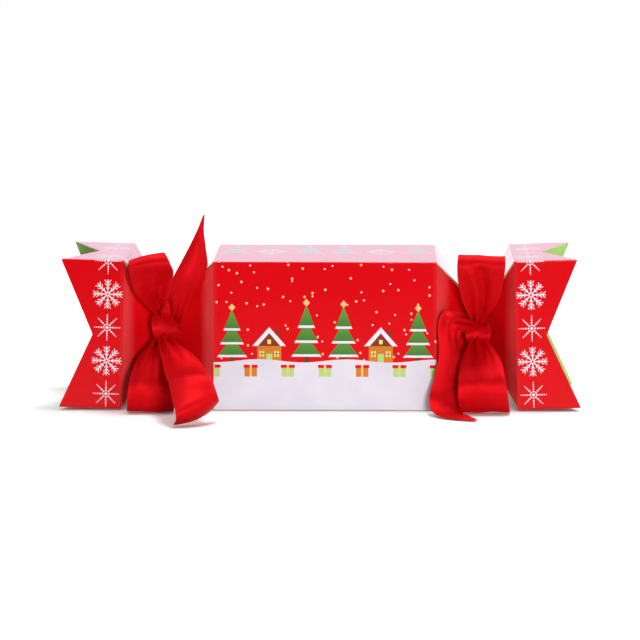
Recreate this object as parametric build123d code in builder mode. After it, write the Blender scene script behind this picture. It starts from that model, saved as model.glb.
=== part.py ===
"""Christmas cracker gift carton.

A square tube of printed paperboard is pinched at two necks and tied there with satin ribbon, so that its
ends flare out like a cracker's. The board tears at the pinch when the two ends are pulled apart, and a snap
runs through both necks. X runs along the cracker, Y away from the bows and Z up, in millimetres. The origin
is on the table under the middle of the body.
"""
import os
from math import atan2, cos, hypot, radians, sin, sqrt

from build123d import *

os.makedirs("parts", exist_ok=True)

# Die-cut board, measured along the sheet
BOX_WIDTH = 75.0  # outside width and height of the square tube
BODY_LENGTH = 111.5
INNER_NECK = 35.4  # body crease to pinch crease
OUTER_NECK = 30.8  # pinch crease to flare crease
FLARE_LENGTH = 31.3
NOTCH_DEPTH = 16.0  # swallow-tail cut in each flare panel
TIP_LAND = 0.7  # blunt width left beside each flare corner
BOARD = 0.5
FOLD_RADIUS = 0.9  # outside radius of the long folds
CORNER_RELIEF = 1.0  # how far the neck panels stop short of the tube's corners
NECK_CUT = 28.0  # board cut away from each edge of a neck panel by the pinch crease
GLUE_FLAP = 12.0
FLAP_INSET = 1.2  # how far a glue flap stops short of its panel's ends

# How the ribbons hold the board
CINCH = {"left": 24.35, "right": 26.6}  # depth that each neck is drawn in
END_LIFT = {"left": 1.6, "right": 2.0}  # degrees that each end tips up from the table
TEAR_GAP = 0.4  # opening left along the torn crease

# Satin ribbon
RIBBON_WIDTH = 24.0
RIBBON = 0.5
WRAP_HEIGHT = 6.0  # gathered ribbon in the groove of the neck
WRAP_EDGE = 0.8
WRAP_CLEARANCE = 0.5
WRAP_CORNER = 5.0
KNOT_WIDTH = {"left": 14.0, "right": 12.0}
KNOT_HEIGHT = {"left": 16.0, "right": 12.5}
KNOT_DEPTH = 12.0
KNOT_CORNER = 5.0
KNOT_BEVEL = 3.0  # how far the knot's face draws in all round
KNOT_SHIFT = 2.5  # how far the knot sits from the pinch, towards the body
KNOT_RISE = {"left": 2.4, "right": 1.2}  # knot's centre above the cracker's axis
LOOP_OUT = 9.5  # where the loops leave the knot, out from the wrap
LOOP_ROOT = 2.5  # half thickness of a loop at the knot
LOOP_FULLNESS = 6.0  # half thickness of a loop at its fold
LOOP_WAIST = 8.0  # width of a loop at the knot
LOOP_SHOULDER = 20.0  # distance from the knot at which a loop is fully spread
LOOP_REACH = 40.5  # top of the upper loops above the knot
LOOP_LEAN = {("left", "upper"): -6.5, ("left", "lower"): -7.5, ("right", "upper"): 2.0, ("right", "lower"): 3.0}
FRONT_CLEARANCE = 1.0  # loops hang this far in front of the carton
BOW_CLEARANCE = 0.3  # between the knot and what passes through it
TABLE_CLEARANCE = 0.3  # under the ribbon that lies on the table
TAIL_CLEARANCE = 1.0  # between a tail and the loop beside it
TAIL_ROOT = 4.0  # width of a tail where it leaves the knot
TAIL_BEND = 7.0
RISING_TAIL = 59.0  # left upper tail: its tip above the knot
RISING_TAIL_WAIST = 33.0  # height of its widest place above the knot
RISING_TAIL_LEAN = 20.0
LYING_TAIL_TOUCH = 20.0  # left lower tail: where it meets the table, in front of the knot
LYING_TAIL_REACH = 54.0
LYING_TAIL_BEND = 14.0
LYING_TAIL_SPREAD = 25.0  # its far edge, from the knot
LYING_TAIL_SKEW = 26.0  # slant of its cut end
HANGING_TAIL_OUT = 19.0  # right front tail: how far in front of the loops' root it hangs
HANGING_TAIL_SPREAD = 26.0  # its far edge, from the knot
HANGING_TAIL_SHOULDER = 8.0  # its highest fold above the knot
RESTING_TAIL_OUT = 5.0  # right rear tail: out from the wrap, behind the upper loop
RESTING_TAIL_WIDTH = 13.0
RESTING_TAIL_REACH = 32.0  # its length over the top of the neck
RESTING_TAIL_HEIGHT = 13.0  # over the pinched board

# Snap and contents
SNAP_WIDTH = 9.0
SNAP_CARD = 0.4
SNAP_PAST_MIDDLE = 22.0  # how far each strip reaches past the middle
SNAP_SPACE = 0.6  # between the two strips
SNAP_CLEARANCE = 0.3
SNAP_TAB_START = 6.0  # where the tab meets the outer neck, from the pinch
SNAP_TAB = 12.0
GLUE_LINE = 0.1
SNAP_BEND = 1.5
SNAP_BEND_OUT = 2.0  # where the strip turns down, past the pinch
PATCH_LENGTH = 12.0
PATCH_WIDTH = 6.0
PATCH = 0.15
SLEEVE_LENGTH = 40.0
SLEEVE_PAPER = 0.3
CONTENT_CLEARANCE = 0.2
CROWN_PLACE = (-17.0, 14.0)  # middle of the folded crown, on the floor of the body
CROWN_LENGTH = 62.0
CROWN_WIDTH = 34.0
CROWN_PACK = 2.0  # thickness of the folded tissue
CROWN_POINTS = 4
CROWN_POINT_DEPTH = 9.0
CROWN_FOLD = 6.0  # how far the upper leaves stop short of the lower one
MOTTO_PLACE = (-22.0, -22.0)
MOTTO_LENGTH = 46.0
MOTTO_ROLL = 8.0
MOTTO_PAPER = 0.8  # wall of the rolled slip
TOP_PLACE = (37.5, -15.0)  # point of the spinning top, from the body's right end and the long axis
TOP_RADIUS = 11.0
TOP_CONE = 14.0
TOP_RIM = 4.0
TOP_STEM = 12.0
TOP_STEM_RADIUS = 1.7

AXIS = BOX_WIDTH / 2  # half the section, and the height of the cracker's long axis
ENDS = {"left": -1, "right": 1}
INNER_RUN = {end: sqrt(INNER_NECK**2 - CINCH[end] ** 2) for end in ENDS}
OUTER_RUN = {end: sqrt(OUTER_NECK**2 - CINCH[end] ** 2) for end in ENDS}
PINCH = {end: AXIS - CINCH[end] for end in ENDS}  # half the section at the pinch
PINCH_X = {end: ENDS[end] * (BODY_LENGTH / 2 + INNER_RUN[end]) for end in ENDS}


def save(piece, name):
    """Label one finished piece and write it to its own file."""
    piece.part.label = name
    export_step(piece.part, f"parts/{name}.step")


def panel_frames(centre, lengthwise, upward):
    """Planes for the four walls of a section: x along the board, z out of the carton."""
    outward = {"front": Vector(0, -1, 0), "top": upward, "back": Vector(0, 1, 0), "bottom": -upward}
    return {side: Plane(origin=centre, x_dir=lengthwise, z_dir=normal) for side, normal in outward.items()}


def tube_panel(frame, start, length):
    """One wall of the square tube, with half of the long fold at each edge."""
    section = Plane(origin=frame.from_local_coords((start, 0, 0)), x_dir=frame.y_dir, z_dir=frame.x_dir)
    inside = BOX_WIDTH - 2 * BOARD
    with BuildPart() as wall:
        with BuildSketch(section):
            RectangleRounded(BOX_WIDTH, BOX_WIDTH, FOLD_RADIUS)
            RectangleRounded(inside, inside, FOLD_RADIUS - BOARD, mode=Mode.SUBTRACT)
            with BuildLine():
                Polyline((0, 0), (BOX_WIDTH, BOX_WIDTH), (-BOX_WIDTH, BOX_WIDTH), close=True)
            make_face(mode=Mode.INTERSECT)
        extrude(amount=length)
    return wall


def flare_panel(frame, start):
    """A tube wall whose free edge is cut to a swallow tail."""
    tip = start + FLARE_LENGTH
    with BuildPart() as flare:
        add(tube_panel(frame, start, FLARE_LENGTH).part)
        with BuildSketch(frame):
            with BuildLine():
                Polyline((tip - NOTCH_DEPTH, 0), (tip, AXIS - TIP_LAND), (tip, TIP_LAND - AXIS), close=True)
            make_face()
        extrude(amount=BOX_WIDTH, mode=Mode.SUBTRACT)
    return flare


def neck_panel(frame, run, heights, half_widths):
    """A sloping trapezoid between two creases, given its height and half width at each."""
    slant = BOARD * hypot(run, heights[1] - heights[0]) / run
    profile = Plane(origin=frame.origin, x_dir=frame.x_dir, z_dir=frame.x_dir.cross(frame.z_dir))
    with BuildPart() as panel:
        with BuildSketch(profile):
            with BuildLine():
                Polyline(
                    (0, heights[0]),
                    (run, heights[1]),
                    (run, heights[1] - slant),
                    (0, heights[0] - slant),
                    close=True,
                )
            make_face()
        extrude(amount=BOX_WIDTH, both=True)
        with BuildSketch(frame):
            with BuildLine():
                Polyline(
                    (0, half_widths[0]),
                    (run, half_widths[1]),
                    (run, -half_widths[1]),
                    (0, -half_widths[0]),
                    close=True,
                )
            make_face()
        extrude(amount=BOX_WIDTH, mode=Mode.INTERSECT)
    return panel


def glue_flap(frame, start, length):
    """A tab of the bottom panel, glued inside the back panel, with both ends tapered."""
    down = -1 if frame.y_dir.Z > 0 else 1
    root = down * (AXIS - FOLD_RADIUS)
    free = down * (AXIS - FOLD_RADIUS - GLUE_FLAP)
    first = start + FLAP_INSET
    last = start + length - FLAP_INSET
    taper = FLAP_INSET + GLUE_FLAP * NOTCH_DEPTH / AXIS
    with BuildPart() as flap:
        with BuildSketch(frame.offset(AXIS - 2 * BOARD)):
            with BuildLine():
                Polyline((first, root), (last, root), (last - taper, free), (first + taper, free), close=True)
            make_face()
        extrude(amount=BOARD)
    return flap


# Body of the carton
body_frames = panel_frames(Vector(-BODY_LENGTH / 2, 0, AXIS), Vector(1, 0, 0), Vector(0, 0, 1))
for side, frame in body_frames.items():
    save(tube_panel(frame, 0, BODY_LENGTH), f"body_{side}_panel")
save(glue_flap(body_frames["back"], 0, BODY_LENGTH), "body_glue_flap")

# Necks and flared ends, with the ends tipped up about the pinch
wide = AXIS - CORNER_RELIEF
narrow = AXIS - NECK_CUT
end_frames = {}
for end, sign in ENDS.items():
    crease = Vector(sign * BODY_LENGTH / 2, 0, AXIS)
    for side, frame in panel_frames(crease, Vector(sign, 0, 0), Vector(0, 0, 1)).items():
        inner = neck_panel(frame, INNER_RUN[end], (AXIS, PINCH[end]), (wide, narrow))
        save(inner, f"{end}_inner_neck_{side}")

    lift = radians(END_LIFT[end])
    opening = TEAR_GAP + PINCH[end] * sin(lift)
    centre = Vector(PINCH_X[end] + sign * opening, 0, AXIS)
    along = Vector(sign * cos(lift), 0, sin(lift))
    upward = Vector(-sign * sin(lift), 0, cos(lift))
    end_frames[end] = panel_frames(centre, along, upward)
    for side, frame in end_frames[end].items():
        outer = neck_panel(frame, OUTER_RUN[end], (PINCH[end], AXIS), (narrow, wide))
        save(outer, f"{end}_outer_neck_{side}")
        save(flare_panel(frame, OUTER_RUN[end]), f"{end}_flare_{side}")
    save(glue_flap(end_frames[end]["back"], OUTER_RUN[end], FLARE_LENGTH), f"{end}_flare_glue_flap")


def ribbon_wrap(end):
    """Gathered ribbon that fills the bottom of the groove round a neck."""
    sign = ENDS[end]
    half = PINCH[end] + WRAP_HEIGHT
    slopes = {"body": CINCH[end] / INNER_RUN[end], "flare": CINCH[end] / OUTER_RUN[end]}
    reach = {name: (WRAP_HEIGHT - WRAP_CLEARANCE - WRAP_EDGE) / slope for name, slope in slopes.items()}
    at_pinch = Plane(origin=(PINCH_X[end], 0, AXIS), x_dir=(0, 1, 0), z_dir=(sign, 0, 0))
    hole = 2 * (PINCH[end] + WRAP_CLEARANCE)
    mouth = 2 * (half - WRAP_EDGE)
    with BuildPart() as wrap:
        with BuildSketch(at_pinch.offset(-reach["body"])):
            RectangleRounded(2 * half, 2 * half, WRAP_CORNER)
        extrude(amount=reach["body"] + reach["flare"])
        for far in (-reach["body"], reach["flare"]):
            with BuildSketch(at_pinch):
                Rectangle(hole, hole)
            with BuildSketch(at_pinch.offset(far)):
                Rectangle(mouth, mouth)
            loft(ruled=True, mode=Mode.SUBTRACT)
    return wrap


def knot_centre(end):
    """Where a knot's middle sits: in front of the wrap, beside the pinch."""
    return Vector(
        PINCH_X[end] - ENDS[end] * KNOT_SHIFT,
        -(PINCH[end] + WRAP_HEIGHT),
        AXIS + KNOT_RISE[end],
    )


def bow_knot(end, growth=0.0):
    """A knot on the front of the wrap, or its clearance when grown."""
    face = Plane(origin=knot_centre(end), x_dir=(1, 0, 0), z_dir=(0, -1, 0))
    body_crease = ENDS[end] * BODY_LENGTH / 2
    with BuildPart() as knot:
        with BuildSketch(face):
            RectangleRounded(
                KNOT_WIDTH[end] + 2 * growth,
                KNOT_HEIGHT[end] + 2 * growth,
                KNOT_CORNER + growth,
            )
        extrude(amount=KNOT_DEPTH + growth)
        chamfer(knot.faces().sort_by(Axis.Y)[0].edges(), length=KNOT_BEVEL)
        with BuildSketch(Plane.XY):
            with BuildLine():
                Polyline(
                    (PINCH_X[end], 0),
                    (PINCH_X[end], -(PINCH[end] + WRAP_CLEARANCE)),
                    (body_crease, -(AXIS + WRAP_CLEARANCE)),
                    (body_crease, 0),
                    close=True,
                )
            make_face()
        extrude(amount=BOX_WIDTH, mode=Mode.SUBTRACT)
    return knot


def bow_loop(end, way):
    """A flattened ring of ribbon from the knot up or down to its fold, in front of the carton."""
    knot = knot_centre(end)
    root_y = knot.Y - LOOP_OUT
    fold_y = -(AXIS + FRONT_CLEARANCE + LOOP_FULLNESS)
    up = 1 if way == "upper" else -1
    reach = LOOP_REACH if way == "upper" else knot.Z - TABLE_CLEARANCE
    fold_x = knot.X + LOOP_LEAN[end, way]
    fold_z = knot.Z + up * (reach - LOOP_FULLNESS)
    shoulder_z = knot.Z + up * LOOP_SHOULDER
    waist_z = knot.Z + up * KNOT_HEIGHT[end] / 4
    with BuildPart() as loop:
        with BuildSketch(Plane.YZ):
            with Locations((root_y, knot.Z)):
                Circle(LOOP_ROOT)
            with Locations((fold_y, fold_z)):
                Circle(LOOP_FULLNESS)
            make_hull()
            offset(amount=-RIBBON, mode=Mode.SUBTRACT)
        extrude(amount=2 * BODY_LENGTH, both=True)
        with BuildSketch(Plane.XZ):
            with BuildLine():
                FilletPolyline(
                    (knot.X - LOOP_WAIST / 2, waist_z),
                    (knot.X + LOOP_WAIST / 2, waist_z),
                    (fold_x + RIBBON_WIDTH / 2, shoulder_z),
                    (fold_x + RIBBON_WIDTH / 2, knot.Z + up * reach),
                    (fold_x - RIBBON_WIDTH / 2, knot.Z + up * reach),
                    (fold_x - RIBBON_WIDTH / 2, shoulder_z),
                    radius=[0, 0, LOOP_FULLNESS, LOOP_ROOT, LOOP_ROOT, LOOP_FULLNESS],
                    close=True,
                )
            make_face()
        extrude(amount=2 * BOX_WIDTH, both=True, mode=Mode.INTERSECT)
        add(bow_knot(end, BOW_CLEARANCE).part, mode=Mode.SUBTRACT)
    return loop


for end in ENDS:
    save(ribbon_wrap(end), f"{end}_ribbon_wrap")
    save(bow_knot(end), f"{end}_bow_knot")
    for way in ("upper", "lower"):
        save(bow_loop(end, way), f"{end}_bow_{way}_loop")


def ribbon_tail(end, profile, path, bend, outline):
    """A loose end of ribbon: a bent strip seen edge-on in one plane, trimmed to its outline from the front."""
    with BuildPart() as tail:
        with BuildSketch(profile):
            with BuildLine():
                FilletPolyline(*path, radius=bend)
            trace(line_width=RIBBON)
        extrude(amount=2 * BODY_LENGTH, both=True)
        with BuildSketch(Plane.XZ):
            with BuildLine():
                Polyline(*outline, close=True)
            make_face()
        extrude(amount=2 * BOX_WIDTH, both=True, mode=Mode.INTERSECT)
        add(bow_knot(end, BOW_CLEARANCE).part, mode=Mode.SUBTRACT)
    return tail


# Left bow: one tail stands up beside the upper loop, the other runs down and lies on the table
knot = knot_centre("left")
loop_y = knot.Y - LOOP_OUT
table = TABLE_CLEARANCE + RIBBON / 2
root_x = knot.X + LOOP_WAIST / 2 + BOW_CLEARANCE
beside = {way: knot.X + LOOP_LEAN["left", way] + RIBBON_WIDTH / 2 + TAIL_CLEARANCE for way in ("upper", "lower")}

rising_tail = ribbon_tail(
    "left",
    Plane.YZ,
    [(loop_y, knot.Z), (-AXIS, knot.Z + RISING_TAIL_WAIST), (-AXIS, knot.Z + RISING_TAIL)],
    RISING_TAIL_WAIST / 2,
    [
        (root_x, knot.Z),
        (beside["upper"], knot.Z + LOOP_SHOULDER),
        (knot.X + RISING_TAIL_LEAN, knot.Z + RISING_TAIL),
        (knot.X + RISING_TAIL_LEAN, knot.Z + RISING_TAIL_WAIST),
        (root_x + TAIL_ROOT, knot.Z),
    ],
)
save(rising_tail, "left_bow_upper_tail")

tip_y = loop_y - LYING_TAIL_REACH
far_x = knot.X + LYING_TAIL_SPREAD
lying_strip = ribbon_tail(
    "left",
    Plane.YZ,
    [(loop_y, knot.Z), (loop_y - LYING_TAIL_TOUCH, table), (tip_y, table)],
    LYING_TAIL_BEND,
    [
        (root_x, knot.Z),
        (root_x + TAIL_ROOT, knot.Z),
        (far_x, TAIL_BEND),
        (far_x, 0),
        (beside["lower"], 0),
        (beside["lower"], knot.Z - LOOP_SHOULDER),
    ],
)
with BuildPart() as lying_tail:
    add(lying_strip.part)
    with BuildSketch(Plane.XY):
        with BuildLine():
            Polyline((beside["lower"], tip_y), (far_x, tip_y), (far_x, tip_y + LYING_TAIL_SKEW), close=True)
        make_face()
    extrude(amount=TAIL_BEND, mode=Mode.SUBTRACT)
save(lying_tail, "left_bow_lower_tail")

# Right bow: one tail turns out from the knot and hangs to the table, the other rests over the neck
knot = knot_centre("right")
loop_y = knot.Y - LOOP_OUT
hanging_y = loop_y - HANGING_TAIL_OUT
edge_x = knot.X + LOOP_LEAN["right", "lower"] - RIBBON_WIDTH / 2 - TAIL_CLEARANCE
far_x = knot.X - HANGING_TAIL_SPREAD
hanging_tail = ribbon_tail(
    "right",
    Plane.XY,
    [(knot.X, loop_y), (edge_x - TAIL_ROOT, hanging_y), (far_x - RIBBON, hanging_y)],
    TAIL_BEND,
    [
        (knot.X, knot.Z + TAIL_ROOT / 2),
        (edge_x, knot.Z + TAIL_ROOT / 2),
        (edge_x - TAIL_ROOT, knot.Z + HANGING_TAIL_SHOULDER),
        (far_x + TAIL_BEND, knot.Z + TAIL_ROOT),
        (far_x, TAIL_BEND),
        (far_x + TAIL_ROOT, TABLE_CLEARANCE),
        (edge_x, TABLE_CLEARANCE),
        (edge_x, knot.Z - TAIL_ROOT / 2),
        (knot.X, knot.Z - TAIL_ROOT / 2),
    ],
)
save(hanging_tail, "right_bow_front_tail")

rear_y = knot.Y - RESTING_TAIL_OUT
rest_z = AXIS + PINCH["right"] + RESTING_TAIL_HEIGHT
resting_tail = ribbon_tail(
    "right",
    Plane.YZ,
    [(rear_y, knot.Z), (rear_y, rest_z), (rear_y + RESTING_TAIL_REACH, rest_z)],
    TAIL_BEND,
    [
        (knot.X - TAIL_ROOT / 2, knot.Z),
        (knot.X + TAIL_ROOT / 2, knot.Z),
        (knot.X + RESTING_TAIL_WIDTH / 2, knot.Z + RESTING_TAIL_HEIGHT),
        (knot.X + RESTING_TAIL_WIDTH / 2, rest_z + RIBBON),
        (knot.X - RESTING_TAIL_WIDTH / 2, rest_z + RIBBON),
        (knot.X - RESTING_TAIL_WIDTH / 2, knot.Z + RESTING_TAIL_HEIGHT),
    ],
)
save(resting_tail, "right_bow_rear_tail")

# Snap: two card strips that overlap in a paper sleeve, each glued inside its own end
neck_floors = [AXIS - PINCH[end] + BOARD * INNER_NECK / INNER_RUN[end] for end in ENDS]
lower_level = max(neck_floors) + SNAP_CLEARANCE + SNAP_CARD / 2
snap_levels = {"left": lower_level, "right": lower_level + SNAP_CARD + SNAP_SPACE}


def snap_strip(end):
    """A card strip from past the middle out through the neck, bent down on to the outer neck panel."""
    frame = end_frames[end]["bottom"]
    steepness = OUTER_NECK / OUTER_RUN[end]
    seat = BOARD + GLUE_LINE + SNAP_CARD / 2
    tab = []
    for u in (SNAP_TAB_START, SNAP_TAB_START + SNAP_TAB / steepness):
        height = PINCH[end] + u * CINCH[end] / OUTER_RUN[end] - seat * steepness
        tab.append(frame.from_local_coords((u, 0, height)))
    level = snap_levels[end]
    with BuildPart() as strip:
        with BuildSketch(Plane.XZ):
            with BuildLine():
                FilletPolyline(
                    (-ENDS[end] * SNAP_PAST_MIDDLE, level),
                    (PINCH_X[end] + ENDS[end] * SNAP_BEND_OUT, level),
                    (tab[0].X, tab[0].Z),
                    (tab[1].X, tab[1].Z),
                    radius=SNAP_BEND,
                )
            trace(line_width=SNAP_CARD)
        extrude(amount=SNAP_WIDTH / 2, both=True)
    return strip


def snap_patch(base):
    """A thin dab of friction compound, upwards from the given height."""
    with BuildPart() as patch:
        with BuildSketch(Plane.XY.offset(base)):
            RectangleRounded(PATCH_LENGTH, PATCH_WIDTH, PATCH_WIDTH / 4)
        extrude(amount=PATCH)
    return patch


for end in ENDS:
    save(snap_strip(end), f"{end}_snap_strip")
save(snap_patch(snap_levels["left"] + SNAP_CARD / 2), "snap_charge")
save(snap_patch(snap_levels["right"] - SNAP_CARD / 2 - PATCH), "snap_striker")

sleeve_width = SNAP_WIDTH + 2 * SNAP_CLEARANCE
sleeve_height = 2 * SNAP_CARD + SNAP_SPACE + 2 * SNAP_CLEARANCE
with BuildPart() as snap_sleeve:
    with BuildSketch(Plane.YZ.offset(-SLEEVE_LENGTH / 2)):
        with Locations((0, sum(snap_levels.values()) / 2)):
            Rectangle(sleeve_width + 2 * SLEEVE_PAPER, sleeve_height + 2 * SLEEVE_PAPER)
            Rectangle(sleeve_width, sleeve_height, mode=Mode.SUBTRACT)
    extrude(amount=SLEEVE_LENGTH)
save(snap_sleeve, "snap_sleeve")

# What the cracker gives: a folded crown, a rolled slip and a toy, loose on the floor of the body
crown_x, crown_y = CROWN_PLACE
point_step = CROWN_LENGTH / CROWN_POINTS
crown_edge = [(crown_x - CROWN_LENGTH / 2, crown_y - CROWN_WIDTH / 2)]
for i in range(CROWN_POINTS):
    left_x = crown_x - CROWN_LENGTH / 2 + i * point_step
    crown_edge.append((left_x, crown_y + CROWN_WIDTH / 2 - CROWN_POINT_DEPTH))
    crown_edge.append((left_x + point_step / 2, crown_y + CROWN_WIDTH / 2))
crown_edge.append((crown_x + CROWN_LENGTH / 2, crown_y + CROWN_WIDTH / 2 - CROWN_POINT_DEPTH))
crown_edge.append((crown_x + CROWN_LENGTH / 2, crown_y - CROWN_WIDTH / 2))
with BuildPart() as paper_crown:
    with BuildSketch(Plane.XY.offset(BOARD)):
        with BuildLine():
            Polyline(*crown_edge, close=True)
        make_face()
    extrude(amount=CROWN_PACK)
    with BuildSketch(Plane.XY.offset(BOARD + CROWN_PACK)):
        with Locations((crown_x + CROWN_LENGTH / 2, crown_y)):
            Rectangle(CROWN_FOLD, CROWN_WIDTH, align=(Align.MAX, Align.CENTER))
    extrude(amount=-CROWN_PACK / 2, mode=Mode.SUBTRACT)
save(paper_crown, "paper_crown")

motto_x, motto_y = MOTTO_PLACE
with BuildPart() as motto_slip:
    with BuildSketch(Plane.YZ.offset(motto_x - MOTTO_LENGTH / 2)):
        with Locations((motto_y, BOARD + CONTENT_CLEARANCE + MOTTO_ROLL / 2)):
            Circle(MOTTO_ROLL / 2)
            Circle(MOTTO_ROLL / 2 - MOTTO_PAPER, mode=Mode.SUBTRACT)
    extrude(amount=MOTTO_LENGTH)
save(motto_slip, "motto_slip")

# The top lies on the side of its cone, so its spindle leans by the cone's half angle
top_lean = atan2(TOP_RADIUS, TOP_CONE)
top_plane = Plane(
    origin=(BODY_LENGTH / 2 - TOP_PLACE[0], TOP_PLACE[1], BOARD + CONTENT_CLEARANCE),
    x_dir=(sin(top_lean), 0, -cos(top_lean)),
    z_dir=(0, -1, 0),
)
with BuildPart() as spinning_top:
    with BuildSketch(top_plane):
        with BuildLine():
            Polyline(
                (0, 0),
                (TOP_RADIUS, TOP_CONE),
                (TOP_RADIUS, TOP_CONE + TOP_RIM),
                (TOP_STEM_RADIUS, TOP_CONE + 2 * TOP_RIM),
                (TOP_STEM_RADIUS, TOP_CONE + 2 * TOP_RIM + TOP_STEM),
                (0, TOP_CONE + 2 * TOP_RIM + TOP_STEM),
                close=True,
            )
        make_face()
    revolve(axis=Axis(top_plane.origin, top_plane.y_dir))
save(spinning_top, "spinning_top")
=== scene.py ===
"""Dresses the christmas cracker carton: printed board, satin bows, the snap and what lies inside."""
from math import cos, exp, pi, radians, sin, tau

import bmesh
import bpy
from bpy.props import FloatProperty, FloatVectorProperty, PointerProperty
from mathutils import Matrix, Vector, noise


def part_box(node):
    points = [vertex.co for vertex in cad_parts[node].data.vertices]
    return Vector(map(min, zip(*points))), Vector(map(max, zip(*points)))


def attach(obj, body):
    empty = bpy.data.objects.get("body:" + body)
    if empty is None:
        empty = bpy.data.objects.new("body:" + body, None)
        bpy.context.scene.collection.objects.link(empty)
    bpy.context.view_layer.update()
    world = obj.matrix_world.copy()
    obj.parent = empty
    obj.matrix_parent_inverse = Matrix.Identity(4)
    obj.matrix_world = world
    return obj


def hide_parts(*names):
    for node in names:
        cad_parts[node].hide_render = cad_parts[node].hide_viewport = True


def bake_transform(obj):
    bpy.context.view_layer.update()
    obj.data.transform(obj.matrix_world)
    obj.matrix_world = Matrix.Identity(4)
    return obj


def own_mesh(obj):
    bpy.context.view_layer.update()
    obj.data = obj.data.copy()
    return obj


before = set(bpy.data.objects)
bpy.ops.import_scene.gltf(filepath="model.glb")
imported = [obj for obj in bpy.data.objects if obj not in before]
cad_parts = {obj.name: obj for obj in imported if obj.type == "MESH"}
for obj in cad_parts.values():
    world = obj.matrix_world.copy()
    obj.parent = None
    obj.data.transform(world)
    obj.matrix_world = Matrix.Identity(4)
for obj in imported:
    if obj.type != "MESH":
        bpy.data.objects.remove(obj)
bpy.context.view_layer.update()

bl_info = {
    "name": "Christmas Cracker Dressing",
    "version": (1, 0, 0),
    "blender": (4, 5, 0),
    "location": "View3D > Sidebar > Cracker",
    "description": "Prints the board of a cracker carton and ties its satin bows",
    "category": "Object",
}

MM = 0.001
MATH = "ShaderNodeMath"
VECTOR_MATH = "ShaderNodeVectorMath"
ENDS = {"left": -1, "right": 1}
NECK_PARTS = ("inner", "outer")
SIDES = {
    "front": Vector((0, -1, 0)),
    "top": Vector((0, 0, 1)),
    "back": Vector((0, 1, 0)),
    "bottom": Vector((0, 0, -1)),
}
END_LIFT = {"left": radians(1.6), "right": radians(2.0)}  # each end tips up from the table
FLARE_LENGTH = 31.3 * MM
BODY_LOW, BODY_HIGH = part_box("body_front_panel")
BOX_WIDTH = BODY_HIGH.z - BODY_LOW.z
BODY_HALF = BODY_HIGH.x

# How far the bend beside a crease reaches, in millimetres, and how far it turns the surface, in radians
SHARP_BEND = (2.0, 0.15)
NECK_BEND = (7.0, 0.35)
PLOT = 18.6  # millimetres of the printed row that one fir, cottage or parcel takes up

# Where each lamp hangs and how wide it is, in metres
LAMPS = {
    "key_lamp": ((0.2, 0.03, 1.25), 0.35),
    "front_lamp": ((0.36, -1.56, 0.17), 0.32),
}


def linear(hex_colour):
    """An sRGB hex value as linear red, green, blue and alpha."""
    channels = [int(hex_colour[i:i + 2], 16) / 255 for i in (1, 3, 5)]
    return tuple(c / 12.92 if c <= 0.04045 else ((c + 0.055) / 1.055) ** 2.4 for c in channels) + (1.0,)


def colour_setting(label, meaning, hex_colour):
    """A colour that a user may change."""
    return FloatVectorProperty(
        name=label, description=meaning, subtype="COLOR", size=4, min=0, max=1, default=linear(hex_colour),
    )


def length_setting(label, meaning, millimetres):
    """A length that a user may change."""
    return FloatProperty(name=label, description=meaning, unit="LENGTH", default=millimetres * MM)


class CrackerBoard(bpy.types.PropertyGroup):
    """Inks and ornament sizes of the printed board."""

    red: colour_setting("Red", "Ink that covers the outside of the board", "#E20A15")
    white: colour_setting("White", "Bare board left as flakes and snow", "#F2EEF4")
    gold: colour_setting("Gold", "Warm ink of the larger dots, the stars and the parcels' bands", "#F5CF86")
    green: colour_setting("Green", "Ink of the inside of the carton, the doors and some parcels", "#B9DD84")
    cut_edge: colour_setting("Cut edge", "Raw board along the die-cut edges", "#FFF4D6")
    ornament_pitch: length_setting("Ornament pitch", "From one ornament on a flare to the next", 16.8)
    ornament_inset: length_setting("Ornament inset", "Middle of the ornaments, from the flare crease", 8.0)
    snow_height: length_setting("Snow height", "Height of the printed snow on the front and back", 25)


class CrackerRibbon(bpy.types.PropertyGroup):
    """The satin ribbon that ties both necks."""

    colour: colour_setting("Colour", "Dyed satin", "#E40A16")
    width: length_setting("Width", "Width of the ribbon off the roll", 24)
    thickness: length_setting("Thickness", "Thickness of the woven ribbon", 0.35)


class CrackerStage(bpy.types.PropertyGroup):
    """Camera and light of a plain product photograph."""

    lens: FloatProperty(
        name="Lens", description="Focal length on a 36 mm sensor, in millimetres", unit="CAMERA",
        default=187.6,
    )
    camera_place: FloatVectorProperty(
        name="Camera place", description="Where the camera stands", subtype="XYZ", unit="LENGTH", size=3,
        default=(0.02927, -1.6855, 0.2814),
    )
    camera_tilt: FloatVectorProperty(
        name="Camera tilt", description="How far the camera looks down and to the left", subtype="EULER",
        unit="ROTATION", size=2, default=(radians(8.13), radians(1.103)),
    )
    key_power: FloatProperty(
        name="Key light", description="Strength of the lamp overhead", unit="POWER", default=11,
    )
    front_power: FloatProperty(
        name="Front light", description="Strength of the lamp beside the camera", unit="POWER", default=15,
    )
    ambient: FloatProperty(name="Ambient", description="Light from the white room", default=0.12, min=0)


# Materials

def add_node(tree, kind, *sources, out=0, **settings):
    """Add one node, set it up, feed its inputs in order and give back one output.

    None leaves an input as it is. Noise takes its place, W, scale, detail and roughness in turn, and a
    bump its strength, distance, filter width and height.
    """
    made = tree.nodes.new(kind)
    for name, value in settings.items():
        setattr(made, name, value)
    for socket, source in zip(made.inputs, sources):
        if isinstance(source, bpy.types.NodeSocket):
            tree.links.new(source, socket)
        elif source is not None:
            socket.default_value = source
    return made.outputs[out] if made.outputs else None


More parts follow.
